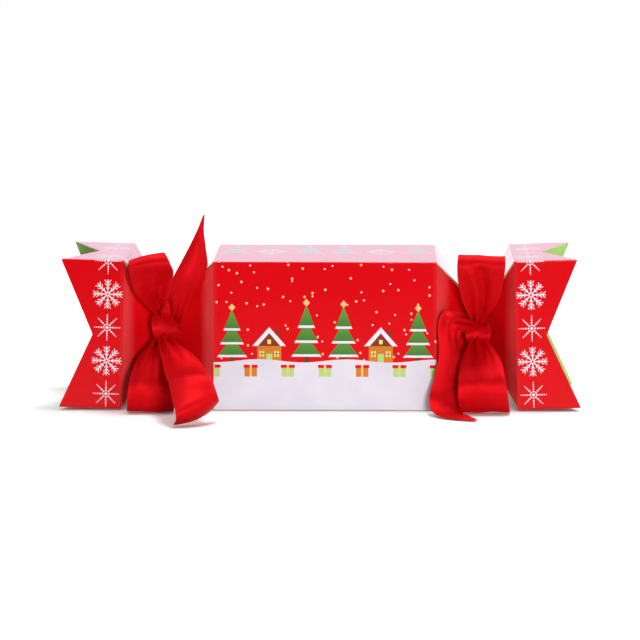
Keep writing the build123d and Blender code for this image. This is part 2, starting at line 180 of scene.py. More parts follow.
def start_material(name, **constants):
    """A material with one Principled shader, whose even values are set on its own sockets."""
    material = bpy.data.materials.new(name)
    material.use_nodes = True
    tree = material.node_tree
    tree.nodes.clear()
    surface = add_node(tree, "ShaderNodeBsdfPrincipled")
    add_node(tree, "ShaderNodeOutputMaterial", surface)
    for socket, value in constants.items():
        surface.node.inputs[socket.replace("_", " ")].default_value = value
    return material, tree, surface.node


def wire(tree, shader, **sources):
    """Link what varies over the surface to the shader's sockets."""
    for socket, source in sources.items():
        tree.links.new(source, shader.inputs[socket.replace("_", " ")])


def measure(tree, along, start):
    """Distance in millimetres along a direction, from a point of the frame."""
    place = add_node(tree, "ShaderNodeTexCoord", out="Object")
    offset = add_node(tree, VECTOR_MATH, place, tuple(start), operation="SUBTRACT")
    metres = add_node(tree, VECTOR_MATH, offset, tuple(along), operation="DOT_PRODUCT", out="Value")
    return add_node(tree, MATH, metres, 1 / MM, operation="MULTIPLY")


def lay_ink(tree, mask, ink, under):
    """One ink over another wherever the mask is 1."""
    skipped = [None] * 5  # the Mix node's sockets for numbers, between its factor and its colours
    return add_node(tree, "ShaderNodeMix", mask, *skipped, under, ink, data_type="RGBA", out=2)


def all_of(tree, *masks):
    """Where every mask is 1."""
    shared = masks[0]
    for mask in masks[1:]:
        shared = add_node(tree, MATH, shared, mask, operation="MULTIPLY")
    return shared


def any_of(tree, *masks):
    """Where at least one mask is 1."""
    joined = masks[0]
    for mask in masks[1:]:
        joined = add_node(tree, MATH, joined, mask, operation="MAXIMUM")
    return joined


def block(tree, across, up, middle, half, low, high):
    """A printed rectangle."""
    offset = add_node(tree, MATH, across, middle, operation="SUBTRACT")
    aside = add_node(tree, MATH, offset, operation="ABSOLUTE")
    return all_of(
        tree,
        add_node(tree, MATH, aside, half, operation="LESS_THAN"),
        add_node(tree, MATH, up, low, operation="GREATER_THAN"),
        add_node(tree, MATH, up, high, operation="LESS_THAN"),
    )


def gable(tree, aside, up, half, low, high):
    """A printed triangle with its base at low and its point at high."""
    below_point = add_node(tree, MATH, high, up, operation="SUBTRACT")
    limit = add_node(tree, MATH, below_point, half / (high - low), operation="MULTIPLY")
    return all_of(
        tree,
        add_node(tree, MATH, aside, limit, operation="LESS_THAN"),
        add_node(tree, MATH, up, low, operation="GREATER_THAN"),
    )


def finish_board(tree, shader, colour, crease, bend_reach, bend_turn):
    """Gloss film over print: a faint waviness of the board, a bend rounded over beside its crease and a
    painted highlight on it.
    """
    wave_length, wave_height = 22 * MM, 0.07 * MM
    speck_size = 0.5 * MM
    place = add_node(tree, "ShaderNodeTexCoord", out="Object")
    wave = add_node(tree, "ShaderNodeTexNoise", place, None, 1 / wave_length, 2.0, 0.5)
    height = add_node(tree, MATH, wave, wave_height, operation="MULTIPLY")
    ragged = add_node(tree, MATH, wave, bend_reach, bend_reach / 2, operation="MULTIPLY_ADD")
    near = add_node(tree, MATH, ragged, crease, operation="SUBTRACT")
    near = add_node(tree, MATH, near, 0.0, operation="MAXIMUM")
    drop = add_node(tree, MATH, near, 2.0, operation="POWER")
    drop = add_node(tree, MATH, drop, -MM * bend_turn / (2 * bend_reach), operation="MULTIPLY")
    height = add_node(tree, MATH, height, drop, operation="ADD")
    bump = add_node(tree, "ShaderNodeBump", 1.0, 1.0, None, height)
    # Painted highlight: pale specks along the bend beside the crease stand in for the light that the
    # rounded crease catches
    highlight_strength = bend_turn ** 2 / 2
    speck = add_node(tree, "ShaderNodeTexNoise", place, None, 1 / speck_size, 3.0, 0.6)
    speck = add_node(tree, "ShaderNodeMapRange", speck, 0.3, 0.7, highlight_strength / 2, highlight_strength)
    fold = add_node(tree, MATH, crease, operation="ABSOLUTE")
    fold = add_node(tree, "ShaderNodeMapRange", fold, bend_reach / 2, bend_reach, 1.0, 0.0)
    painted_highlight = add_node(tree, MATH, speck, fold, operation="MULTIPLY")
    highlighted_colour = lay_ink(tree, painted_highlight, linear("#FFF4F2"), colour)
    wire(tree, shader, Base_Color=highlighted_colour, Normal=bump)


def board_print(name):
    """Coated board, offset printed and film laminated: flat saturated ink under a smooth gloss skin."""
    return start_material(
        name, Roughness=0.1, IOR=1.15, Coat_Weight=1.0, Coat_IOR=1.22, Coat_Roughness=0.08,
    )


# The printed scene, in millimetres

def print_dots(tree, across, up, cell, radius, ink, under, seed):
    """Loose dots of one ink, about one in each cell of the given size."""
    shifted = add_node(tree, MATH, up, seed, operation="ADD")
    place = add_node(tree, "ShaderNodeCombineXYZ", across, shifted, 0.0)
    spots = add_node(
        tree, "ShaderNodeTexVoronoi", place, None, 1 / cell, out="Distance",
        voronoi_dimensions="2D", feature="F1",
    )
    mask = add_node(tree, MATH, spots, radius / cell, operation="LESS_THAN")
    return lay_ink(tree, mask, ink, under)


def find_plot(tree, along):
    """Which plot of the row a point is in, and how far it is from the middle of that plot."""
    count = add_node(tree, MATH, along, PLOT, operation="DIVIDE")
    index = add_node(tree, MATH, count, operation="FLOOR")
    inner = add_node(tree, MATH, along, PLOT, operation="FLOORED_MODULO")
    local = add_node(tree, MATH, inner, PLOT / 2, operation="SUBTRACT")
    return index, local


def print_firs(tree, colour, inks, here, local, rise):
    """Firs in tiers, each with snow on its boughs and a star at the top, where the mask is 1."""
    tiers = [(3.5, 13.0, 7.6), (9.5, 19.5, 6.0), (16.0, 26.0, 4.3)]  # foot, point and half width
    trunk_half, trunk_foot = 1.1, -1.0
    snow_depth = 1.1
    star_reach, star_gap = 1.7, 0.9
    aside = add_node(tree, MATH, local, operation="ABSOLUTE")
    trunk = block(tree, local, rise, 0.0, trunk_half, trunk_foot, tiers[0][0])
    colour = lay_ink(tree, all_of(tree, here, trunk), inks["bark"], colour)
    for low, high, half in tiers:
        bough = all_of(tree, here, gable(tree, aside, rise, half, low, high))
        shade = add_node(tree, "ShaderNodeMapRange", rise, low, high, 0.75, 0.0)
        leaf = lay_ink(tree, shade, linear("#2F6B33"), linear("#6FA548"))
        colour = lay_ink(tree, bough, leaf, colour)
        fringe = add_node(tree, MATH, rise, low + snow_depth, operation="LESS_THAN")
        colour = lay_ink(tree, all_of(tree, bough, fringe), inks["white"], colour)
    point = add_node(tree, MATH, rise, tiers[-1][1] + star_gap, operation="SUBTRACT")
    point = add_node(tree, MATH, point, operation="ABSOLUTE")
    star = add_node(tree, MATH, aside, point, operation="ADD")
    star = add_node(tree, MATH, star, star_reach, operation="LESS_THAN")
    return lay_ink(tree, all_of(tree, here, star), inks["gold"], colour)


def print_cottages(tree, colour, inks, here, local, above):
    """Cottages with a snowy roof, a chimney, a door and lit windows, where the mask is 1."""
    foot, eaves, ridge, half = -1.0, 9.5, 19.0, 6.0
    chimney_place, chimney_half, chimney_top = 3.9, 1.1, ridge - 1.5
    overhang, timber_inset, timber_top = 2.4, 0.4, ridge - 3.0
    door_half, door_top = 1.5, 5.6
    pane_place, pane_half, sill, lintel = 3.7, 1.2, 4.0, 7.0
    attic_half, attic_sill, attic_lintel = 0.9, eaves + 1.0, eaves + 3.2
    bar_half, bar_low, bar_high = 0.18, 5.35, 5.7
    aside = add_node(tree, MATH, local, operation="ABSOLUTE")
    shapes = [
        ("wall", block(tree, local, above, 0.0, half, foot, eaves + 1.0)),
        ("roof", block(tree, local, above, chimney_place, chimney_half, eaves, chimney_top)),
        ("white", gable(tree, aside, above, half + overhang, eaves, ridge)),
        ("roof", gable(tree, aside, above, half - timber_inset, eaves, timber_top)),
        ("green", block(tree, local, above, 0.0, door_half, foot, door_top)),
        ("lamp", block(tree, aside, above, pane_place, pane_half, sill, lintel)),
        ("lamp", block(tree, local, above, 0.0, attic_half, attic_sill, attic_lintel)),
        ("bark", block(tree, aside, above, pane_place, bar_half, sill, lintel)),
        ("bark", block(tree, aside, above, pane_place, pane_half, bar_low, bar_high)),
    ]
    for ink, shape in shapes:
        colour = lay_ink(tree, all_of(tree, here, shape), inks[ink], colour)
    return colour


def print_snow(tree, colour, white, across, up, ground):
    """Snow with a rolling upper edge and faint clouds."""
    roll_length, roll_height, cloud_size = 7.0, 0.8, 14.0
    swell = add_node(tree, MATH, across, roll_length, operation="DIVIDE")
    swell = add_node(tree, MATH, swell, operation="SINE")
    line = add_node(tree, MATH, swell, roll_height, ground, operation="MULTIPLY_ADD")
    drift = add_node(tree, MATH, up, line, operation="LESS_THAN")
    place = add_node(tree, "ShaderNodeCombineXYZ", across, up, 0.0)
    cloud = add_node(tree, "ShaderNodeTexNoise", place, None, 1 / cloud_size, 2.0, 0.5)
    snow = lay_ink(tree, cloud, linear("#D9D6E6"), white)
    return lay_ink(tree, drift, snow, colour)


def print_parcels(tree, colour, inks, along, up, ground):
    """Parcels of two colours half a plot along from the row, each with a red lid and a gold band."""
    top = ground - 2.0
    foot, half = top - 6.0, 3.1
    lid_half, lid_depth, band_half = 3.5, 1.6, 0.5
    half_plot_on = add_node(tree, MATH, along, PLOT / 2, operation="ADD")
    index, local = find_plot(tree, half_plot_on)
    chance = add_node(tree, "ShaderNodeTexWhiteNoise", None, index, noise_dimensions="1D", out="Color")
    chance = add_node(tree, "ShaderNodeSeparateColor", chance, out="Red")
    either = add_node(tree, MATH, chance, 0.5, operation="LESS_THAN")
    wrapper = lay_ink(tree, either, inks["wall"], inks["green"])
    shapes = [
        (wrapper, block(tree, local, up, 0.0, half, foot, top)),
        (inks["red"], block(tree, local, up, 0.0, lid_half, top - lid_depth, top)),
        (inks["gold"], block(tree, local, up, 0.0, band_half, foot, top)),
    ]
    for ink, shape in shapes:
        colour = lay_ink(tree, shape, ink, colour)
    return colour


def print_village(tree, across, up, board, base, ground):
    """A winter row of firs and cottages on snow, under a sky of dots."""
    inks = {name: tuple(getattr(board, name)) for name in ("red", "white", "gold", "green")}
    inks.update(bark=linear("#6A4526"), wall=linear("#D9822B"))
    inks.update(roof=linear("#8E3B22"), lamp=linear("#FFE08A"))
    dots = [("gold", 11.5, 0.6, 0.0), ("white", 12.0, 0.42, 400.0)]  # ink, cell, radius and seed
    row_cycle, cottage_turn = 3.0, 1.0  # every third plot holds a cottage, the others a fir
    least_growth, more_growth = 0.9, 0.3
    colour = inks["red"]
    for ink, cell, radius, seed in dots:
        colour = print_dots(tree, across, up, cell, radius, inks[ink], colour, seed)
    along = add_node(tree, MATH, across, BODY_HALF / MM, operation="ADD")
    index, local = find_plot(tree, along)
    kind = add_node(tree, MATH, index, row_cycle, operation="FLOORED_MODULO")
    is_cottage = add_node(tree, MATH, kind, cottage_turn, 0.1, operation="COMPARE")
    is_fir = add_node(tree, MATH, 1.0, is_cottage, operation="SUBTRACT")
    chance = add_node(tree, "ShaderNodeTexWhiteNoise", None, index, noise_dimensions="1D", out="Value")
    growth = add_node(tree, MATH, chance, more_growth, least_growth, operation="MULTIPLY_ADD")
    above = add_node(tree, MATH, up, base, operation="SUBTRACT")
    rise = add_node(tree, MATH, above, growth, operation="DIVIDE")
    colour = print_firs(tree, colour, inks, is_fir, local, rise)
    colour = print_cottages(tree, colour, inks, is_cottage, local, above)
    colour = print_snow(tree, colour, inks["white"], across, up, ground)
    return print_parcels(tree, colour, inks, along, up, ground)


def body_print(side, board):
    """Printed wall of the body, its scene upright on the walls and laid flat on top and bottom."""
    material, tree, shader = board_print(f"gloss_print_body_{side}")
    lies_flat = side in ("top", "bottom")
    start = Vector((0, BODY_LOW.y, BODY_LOW.z))
    upward = Vector((0, 1, 0)) if lies_flat else Vector((0, 0, 1))
    along = Vector((-1, 0, 0)) if side in ("back", "bottom") else Vector((1, 0, 0))
    across = measure(tree, along, start)
    up = measure(tree, upward, start)
    ground = board.snow_height / MM
    base = ground - 2.0  # the row stands a little way into the snow
    if lies_flat:
        base = BOX_WIDTH / MM * 0.45  # near the middle, with the snow off the panel
        ground = base - 60
    colour = print_village(tree, across, up, board, base, ground)
    distance = add_node(tree, MATH, across, operation="ABSOLUTE")
    crease = add_node(tree, MATH, BODY_HALF / MM, distance, operation="SUBTRACT")
    finish_board(tree, shader, colour, crease, *SHARP_BEND)
    return material


def neck_print(end, part, board):
    """Plain red board between the creases of a neck, bowed out beside the crease that it hangs from."""
    material, tree, shader = board_print(f"gloss_print_{end}_{part}_neck")
    outward = Vector((ENDS[end], 0, 0))
    low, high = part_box(f"{end}_{part}_neck_front")
    body_side, flare_side = (low, high) if ENDS[end] > 0 else (high, low)
    crease = measure(tree, outward, body_side) if part == "inner" else measure(tree, -outward, flare_side)
    finish_board(tree, shader, tuple(board.red), crease, *NECK_BEND)
    return material


def fold_arms(tree, across, down):
    """Eight arms folded on to one: distance from the middle, then along and beside the arm."""
    half_sector = pi / 8
    place = add_node(tree, "ShaderNodeCombineXYZ", across, down, 0.0)
    radius = add_node(tree, VECTOR_MATH, place, operation="LENGTH", out="Value")
    angle = add_node(tree, MATH, down, across, operation="ARCTAN2")
    turn = add_node(tree, MATH, angle, half_sector, -half_sector, operation="WRAP")
    turn = add_node(tree, MATH, turn, operation="ABSOLUTE")
    cosine = add_node(tree, MATH, turn, operation="COSINE")
    sine = add_node(tree, MATH, turn, operation="SINE")
    along = add_node(tree, MATH, radius, cosine, operation="MULTIPLY")
    beside = add_node(tree, MATH, radius, sine, operation="MULTIPLY")
    return radius, along, beside


def feathered_flake(tree, across, down):
    """A snowflake of eight arms, each with three pairs of barbs."""
    arm_reach, arm_half, eye = 7.4, 0.28, 0.55
    barb_half = 0.3
    barbs = [(2.5, 0.95), (4.0, 1.5), (5.5, 1.6)]  # where each leaves the arm, and how far aside it goes
    radius, along, beside = fold_arms(tree, across, down)
    strokes = [all_of(
        tree,
        add_node(tree, MATH, beside, arm_half, operation="LESS_THAN"),
        add_node(tree, MATH, radius, arm_reach, operation="LESS_THAN"),
        add_node(tree, MATH, radius, eye, operation="GREATER_THAN"),
    )]
    slant = add_node(tree, MATH, along, beside, operation="SUBTRACT")
    for root, reach in barbs:
        offset = add_node(tree, MATH, slant, root, operation="SUBTRACT")
        offset = add_node(tree, MATH, offset, operation="ABSOLUTE")
        strokes.append(all_of(
            tree,
            add_node(tree, MATH, offset, barb_half, operation="LESS_THAN"),
            add_node(tree, MATH, beside, reach, operation="LESS_THAN"),
        ))
    return any_of(tree, *strokes)


def dotted_star(tree, across, down):
    """A star of eight rays, each a row of dots that shrink outwards."""
    heart = 0.75
    ray = [(1.7, 0.46), (3.0, 0.44), (4.2, 0.38), (5.3, 0.32), (6.3, 0.26)]  # place and radius of each dot
    radius, along, beside = fold_arms(tree, across, down)
    dots = [add_node(tree, MATH, radius, heart, operation="LESS_THAN")]
    for place, size in ray:
        offset = add_node(tree, MATH, along, place, operation="SUBTRACT")
        spot = add_node(tree, "ShaderNodeCombineXYZ", offset, beside, 0.0)
        distance = add_node(tree, VECTOR_MATH, spot, operation="LENGTH", out="Value")
        dots.append(add_node(tree, MATH, distance, size, operation="LESS_THAN"))
    return any_of(tree, *dots)


def flare_print(end, side, board):
    """Red flare with a column of flakes and stars that runs on round the corners."""
    material, tree, shader = board_print(f"gloss_print_{end}_flare_{side}")
    sign, lift = ENDS[end], END_LIFT[end]
    outward = Vector((sign * cos(lift), 0, sin(lift)))
    upward = Vector((-sign * sin(lift), 0, cos(lift)))
    backward = Vector((0, 1, 0))
    low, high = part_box(f"{end}_flare_front")
    tip = Vector((low.x if sign < 0 else high.x, 0, low.z))
    middle = Vector(((low.x + high.x) / 2, 0, (low.z + high.z) / 2))
    half = BOX_WIDTH / 2
    rounds = {
        "front": (-upward, middle + upward * half),
        "top": (-backward, middle - backward * half),
        "back": (upward, middle + upward * 3 * half),
        "bottom": (backward, middle - backward * 3 * half),
    }
    pitch = board.ornament_pitch / MM
    outwards = measure(tree, outward, tip - outward * FLARE_LENGTH)
    across = add_node(tree, MATH, outwards, board.ornament_inset / MM, operation="SUBTRACT")
    way_round = measure(tree, *rounds[side])
    star_down = add_node(tree, MATH, way_round, pitch, -pitch, operation="WRAP")
    flake_down = add_node(tree, MATH, way_round, pitch, operation="SUBTRACT")
    flake_down = add_node(tree, MATH, flake_down, pitch, -pitch, operation="WRAP")
    mask = any_of(tree, feathered_flake(tree, across, flake_down), dotted_star(tree, across, star_down))
    colour = lay_ink(tree, mask, tuple(board.white), tuple(board.red))
    finish_board(tree, shader, colour, outwards, *SHARP_BEND)
    return material


def inner_board(board):
    """The board's uncoated back, printed a flat green: matt, with a trace of fibre."""
    fibre_width, fibre_height = 0.6 * MM, 0.05 * MM
    material, tree, shader = start_material("matt_green_board", Roughness=0.7, IOR=1.45)
    place = add_node(tree, "ShaderNodeTexCoord", out="Object")
    fibre = add_node(tree, "ShaderNodeTexNoise", place, None, 1 / fibre_width, 4.0, 0.6)
    shade = add_node(tree, "ShaderNodeMapRange", fibre, 0.3, 0.7, 0.0, 0.25)
    colour = lay_ink(tree, shade, linear("#A3CB6C"), tuple(board.green))
    bump = add_node(tree, "ShaderNodeBump", 0.3, fibre_height, None, fibre)
    wire(tree, shader, Base_Color=colour, Normal=bump)
    return material


def cut_board(board):
    """Raw die-cut edge of the board: rough cream pulp with cloudy fibre."""
    fibre_width = 0.4 * MM
    material, tree, shader = start_material("cut_pulp_edge", Roughness=0.85, IOR=1.45)
    place = add_node(tree, "ShaderNodeTexCoord", out="Object")
    pulp = add_node(tree, "ShaderNodeTexNoise", place, None, 1 / fibre_width, 3.0, 0.6)
    wire(tree, shader, Base_Color=lay_ink(tree, pulp, linear("#F6E2B4"), tuple(board.cut_edge)))
    return material


def satin(ribbon):
    """Polyester satin ribbon: long floats that catch a soft sheen along the weft, with firm woven edges."""
    # The weft of real satin is a tenth of a millimetre apart; it is drawn at 0.5 mm so that it shows
    weft_spacing, weft_height = 0.5, 0.012 * MM
    slubs_per_mm = 0.35
    edge_width, edge_height, edge_paleness = 1.2, 0.06 * MM, 0.35
    material, tree, shader = start_material(
        "woven_satin_ribbon", Metallic=0.5, Roughness=0.6, IOR=1.2, Sheen_Weight=0.02, Sheen_Roughness=0.4,
        Anisotropic=0.6, Sheen_Tint=linear("#FF5050"),
    )
    sheet = add_node(tree, "ShaderNodeUVMap", uv_map="UVMap")
    split = add_node(tree, "ShaderNodeSeparateXYZ", sheet).node
    weft = add_node(tree, MATH, split.outputs["Y"], tau / weft_spacing, operation="MULTIPLY")
    weft = add_node(tree, MATH, weft, operation="SINE")
    slub = add_node(tree, "ShaderNodeTexNoise", sheet, None, slubs_per_mm, 3.0, 0.6)
    edge = add_node(tree, MATH, split.outputs["X"], ribbon.width / MM / 2, operation="PINGPONG")
    selvedge = add_node(tree, "ShaderNodeMapRange", edge, 0.0, edge_width, 1.0, 0.0)
    colour = lay_ink(tree, slub, linear("#C80812"), tuple(ribbon.colour))
    pale = add_node(tree, MATH, selvedge, edge_paleness, operation="MULTIPLY")
    colour = lay_ink(tree, pale, linear("#E8242C"), colour)
    height = add_node(tree, MATH, weft, weft_height, operation="MULTIPLY")
    ridge = add_node(tree, MATH, selvedge, edge_height, operation="MULTIPLY")
    height = add_node(tree, MATH, height, ridge, operation="ADD")
    bump = add_node(tree, "ShaderNodeBump", 0.6, 1.0, None, height)
    tangent = add_node(tree, "ShaderNodeTangent", direction_type="UV_MAP", uv_map="UVMap")
    wire(tree, shader, Base_Color=colour, Normal=bump, Tangent=tangent)
    return material


def plain_paper(name, colour, shade, grain, roughness):
    """Uncoated paper or card: matt, with cloudy fibre of the given size in millimetres."""
    fibre_height = 0.08 * MM
    material, tree, shader = start_material(name, Roughness=roughness, IOR=1.45)
    place = add_node(tree, "ShaderNodeTexCoord", out="Object")
    fibre = add_node(tree, "ShaderNodeTexNoise", place, None, 1 / (grain * MM), 5.0, 0.65)
    mixed = lay_ink(tree, fibre, linear(shade), linear(colour))
    bump = add_node(tree, "ShaderNodeBump", 0.4, fibre_height, None, fibre)
    wire(tree, shader, Base_Color=mixed, Normal=bump)
    return material


def turned_beech():
    """Turned and waxed beech with painted rings: pale wood, short dark flecks, a low wax sheen."""
    fleck_width, fleck_stretch = 0.8 * MM, 4
    ring_pitch, ring_width = 5.0, 1.6
    material, tree, shader = start_material("turned_beech", Roughness=0.38, IOR=1.5)
    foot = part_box("spinning_top")[0]
    place = add_node(tree, "ShaderNodeTexCoord", out="Object")
    stretched = add_node(tree, "ShaderNodeMapping", place, None, None, (1 / fleck_stretch, 1.0, 1.0))
    grain = add_node(tree, "ShaderNodeTexNoise", stretched, None, 1 / fleck_width, 4.0, 0.6)
    wood = lay_ink(tree, grain, linear("#B98A55"), linear("#E3C08C"))
    along = measure(tree, Vector((1, 0, 0)), foot)
    ring = add_node(tree, MATH, along, ring_pitch, operation="FLOORED_MODULO")
    painted = add_node(tree, MATH, ring, ring_width, operation="LESS_THAN")
    wire(tree, shader, Base_Color=lay_ink(tree, painted, linear("#C4202A"), wood))
    return material


# Ribbon, in millimetres: each row gives the left edge, the right edge and how far the middle stands out

LOOPS = {
    ("left", "upper"): [
        ((-84.0, -27.0, 46.0), (-78.0, -26.5, 46.0), 0.0),
        ((-88.5, -33.5, 51.5), (-80.0, -32.0, 52.5), -1.0),
        ((-94.0, -41.0, 59.0), (-76.6, -39.0, 60.0), -2.0),
        ((-96.3, -46.5, 68.0), (-74.9, -44.5, 69.5), -1.0),
        ((-97.2, -48.5, 73.5), (-76.6, -47.5, 75.8), 0.5),
        ((-96.8, -45.0, 76.5), (-79.6, -44.0, 80.4), 0.5),
        ((-97.8, -41.2, 74.5), (-80.6, -40.0, 77.5), 0.0),
        ((-99.2, -39.0, 68.0), (-80.5, -38.0, 69.0), -0.5),
        ((-96.6, -34.5, 60.0), (-81.0, -33.0, 59.0), -0.5),
        ((-91.5, -29.0, 52.5), (-81.5, -27.0, 51.5), 0.0),
        ((-85.5, -24.0, 46.0), (-80.0, -23.0, 45.0), 0.0),
    ],
    ("left", "lower"): [
        ((-84.0, -26.5, 37.0), (-78.0, -26.5, 36.0), 0.0),
        ((-88.6, -32.5, 33.0), (-80.5, -32.5, 32.0), 0.0),
        ((-94.2, -42.5, 26.0), (-78.0, -42.0, 24.0), -0.5),
        ((-97.2, -50.0, 16.5), (-76.3, -49.5, 15.5), 0.0),
        ((-98.2, -50.8, 8.5), (-75.5, -50.3, 7.5), 0.3),
        ((-98.6, -47.8, 2.2), (-75.3, -47.8, 2.0), 0.0),
        ((-98.6, -44.5, 0.8), (-75.3, -44.5, 0.8), 0.0),
        ((-98.4, -41.0, 2.6), (-75.5, -41.0, 2.6), 0.0),
        ((-97.0, -39.0, 9.0), (-76.5, -39.0, 9.0), 0.0),
        ((-93.0, -36.0, 20.0), (-79.0, -36.0, 19.0), 0.5),
        ((-86.0, -24.0, 33.0), (-79.0, -24.0, 33.0), 0.0),
    ],
    ("right", "upper"): [
        ((74.0, -25.0, 42.0), (79.0, -25.0, 43.0), 0.0),
        ((72.5, -31.5, 47.0), (81.5, -31.5, 46.5), -0.5),
        ((68.6, -39.5, 56.0), (86.2, -39.0, 55.0), -1.5),
        ((66.2, -46.0, 66.0), (88.5, -45.5, 66.0), -1.0),
        ((65.5, -48.8, 74.5), (89.4, -48.3, 74.0), 0.0),
        ((66.2, -44.8, 79.8), (89.4, -44.5, 78.9), 0.0),
        ((67.0, -40.6, 76.0), (89.0, -40.4, 75.5), 0.0),
        ((67.5, -38.0, 66.0), (88.0, -38.0, 66.0), 0.0),
        ((70.0, -32.0, 53.5), (85.0, -32.0, 53.5), -0.5),
        ((75.0, -22.0, 42.0), (80.0, -22.0, 42.0), 0.0),
    ],
    ("right", "lower"): [
        ((74.0, -25.0, 36.0), (79.0, -25.0, 35.0), 0.0),
        ((71.6, -30.5, 33.0), (81.5, -30.5, 33.5), -0.5),
        ((67.8, -40.5, 25.5), (87.5, -40.0, 27.0), -1.5),
        ((66.4, -50.5, 17.0), (89.8, -50.0, 18.0), -0.5),
        ((66.4, -52.0, 9.0), (91.2, -51.6, 9.5), 0.5),
        ((67.5, -48.2, 2.4), (92.2, -48.0, 2.6), 0.0),
        ((69.5, -44.6, 0.8), (92.3, -44.4, 0.8), 0.0),
        ((69.5, -41.0, 3.0), (92.0, -41.0, 3.0), 0.0),
        ((68.5, -39.0, 10.0), (91.0, -39.0, 11.0), 0.0),
        ((70.0, -36.0, 21.0), (86.0, -36.0, 21.0), 0.5),
        ((75.0, -23.5, 34.0), (80.0, -23.5, 34.0), 0.0),
    ],
}
TAILS = {  # the share of a full strip that is left by the cut, then the rows
    "left_bow_upper_tail": (0.68, [
        ((-79.5, -25.0, 41.0), (-75.0, -23.0, 40.0), 0.0),
        ((-77.4, -29.0, 46.4), (-72.2, -28.5, 45.2), 1.0),
        ((-77.2, -33.0, 52.2), (-69.2, -31.5, 51.0), 2.0),
        ((-77.2, -36.5, 59.0), (-65.6, -33.0, 58.5), 3.0),
        ((-75.8, -38.5, 66.8), (-60.2, -33.0, 66.0), 3.5),
        ((-72.0, -38.5, 74.3), (-58.9, -32.0, 73.3), 3.5),
        ((-67.6, -37.0, 82.7), (-59.9, -31.5, 82.5), 2.5),
        ((-63.8, -35.0, 90.6), (-60.7, -32.0, 90.4), 1.0),
        ((-60.7, -33.0, 98.2), (-60.1, -33.0, 98.2), 0.0),
    ]),
    "left_bow_lower_tail": (1.0, [
        ((-83.0, -27.0, 40.0), (-75.0, -27.0, 38.0), 0.0),
        ((-83.6, -35.0, 34.7), (-73.8, -34.5, 34.2), -1.5),
        ((-81.2, -47.0, 27.3), (-67.0, -41.0, 30.3), -3.0),
        ((-77.7, -64.0, 19.6), (-60.5, -50.0, 24.8), -3.5),
        ((-74.5, -79.0, 14.2), (-55.7, -65.5, 20.2), -3.0),
        ((-71.9, -89.0, 8.5), (-52.5, -75.5, 15.3), -2.6),
        ((-71.6, -89.0, 3.9), (-51.5, -74.5, 11.8), -2.8),
        ((-73.2, -83.0, 0.6), (-51.6, -68.5, 9.9), -3.0),
    ]),
    "right_bow_front_tail": (0.8, [
        ((76.0, -24.0, 43.5), (76.0, -24.0, 37.0), 0.0),
        ((69.5, -33.5, 48.5), (71.5, -30.0, 38.5), -1.0),
        ((60.0, -38.8, 50.8), (67.5, -34.0, 39.5), -2.5),
        ((56.4, -40.5, 44.0), (66.6, -33.0, 34.0), -2.5),
        ((56.8, -41.5, 30.0), (68.4, -32.0, 25.0), -2.5),
        ((54.6, -43.5, 18.0), (69.4, -32.0, 15.0), -2.5),
        ((52.0, -47.0, 8.0), (70.6, -34.5, 8.6), -2.5),
        ((53.8, -55.0, 2.6), (70.0, -38.5, 2.4), -1.0),
        ((61.0, -63.5, 0.9), (69.0, -50.5, 0.9), 0.0),
        ((75.6, -70.0, 0.9), (70.5, -52.5, 0.9), 0.0),
    ]),
    "right_bow_rear_tail": (1.0, [
        ((74.0, -21.0, 42.0), (79.0, -21.0, 42.0), 0.0),
        ((71.2, -21.6, 50.0), (82.0, -21.6, 50.0), 2.5),
        ((70.2, -21.4, 56.5), (83.0, -21.4, 56.5), 4.0),
        ((69.4, -17.5, 60.8), (84.4, -17.5, 60.8), 5.0),
        ((69.2, -8.0, 61.5), (84.8, -8.0, 61.5), 5.5),
        ((69.5, 2.0, 60.8), (84.6, 2.0, 60.8), 5.5),
        ((69.5, 8.6, 59.6), (84.6, 9.8, 59.8), 5.0),
    ]),
}
KNOT_CORES = {  # the middle of the bundle inside a knot, and half its size each way
    "left": ((-79.8, -24.5, 40.6), (5.6, 6.0, 6.6)),
    "right": ((76.4, -23.0, 37.6), (5.0, 5.6, 4.6)),
}
KNOTS = {  # the band that shows on a knot's face, then any fold left standing beside it
    "left": [
        [
            ((-85.0, -23.0, 46.5), (-77.5, -23.0, 45.0), 0.0),
            ((-86.3, -29.5, 47.6), (-76.6, -30.0, 46.2), 0.5),
            ((-86.9, -33.5, 43.0), (-74.6, -34.5, 42.0), 1.2),
            ((-86.2, -33.5, 38.2), (-72.4, -35.0, 38.0), 1.2),
            ((-84.6, -30.0, 34.2), (-73.8, -31.5, 33.6), 0.8),
            ((-83.0, -24.0, 34.0), (-75.5, -24.0, 33.6), 0.0),
        ],
        [
            ((-82.6, -28.0, 45.0), (-77.6, -28.0, 44.5), 0.0),
            ((-82.2, -33.0, 49.0), (-77.4, -32.5, 48.0), 0.8),
            ((-80.4, -35.0, 52.6), (-77.6, -34.5, 52.0), 0.4),
            ((-78.8, -36.0, 55.8), (-78.3, -36.0, 55.8), 0.0),
        ],
    ],
    "right": [
        [
            ((72.0, -20.0, 41.4), (80.5, -20.0, 42.0), 0.0),
            ((70.9, -26.5, 42.0), (82.0, -26.5, 42.8), 0.6),
            ((70.2, -30.5, 38.8), (82.8, -30.5, 39.0), 1.4),
            ((70.8, -30.5, 35.2), (82.2, -30.5, 35.0), 1.4),
            ((72.4, -26.5, 32.2), (80.6, -26.5, 32.2), 0.6),
            ((73.0, -20.0, 33.4), (80.0, -20.0, 33.4), 0.0),
        ],
    ],
}
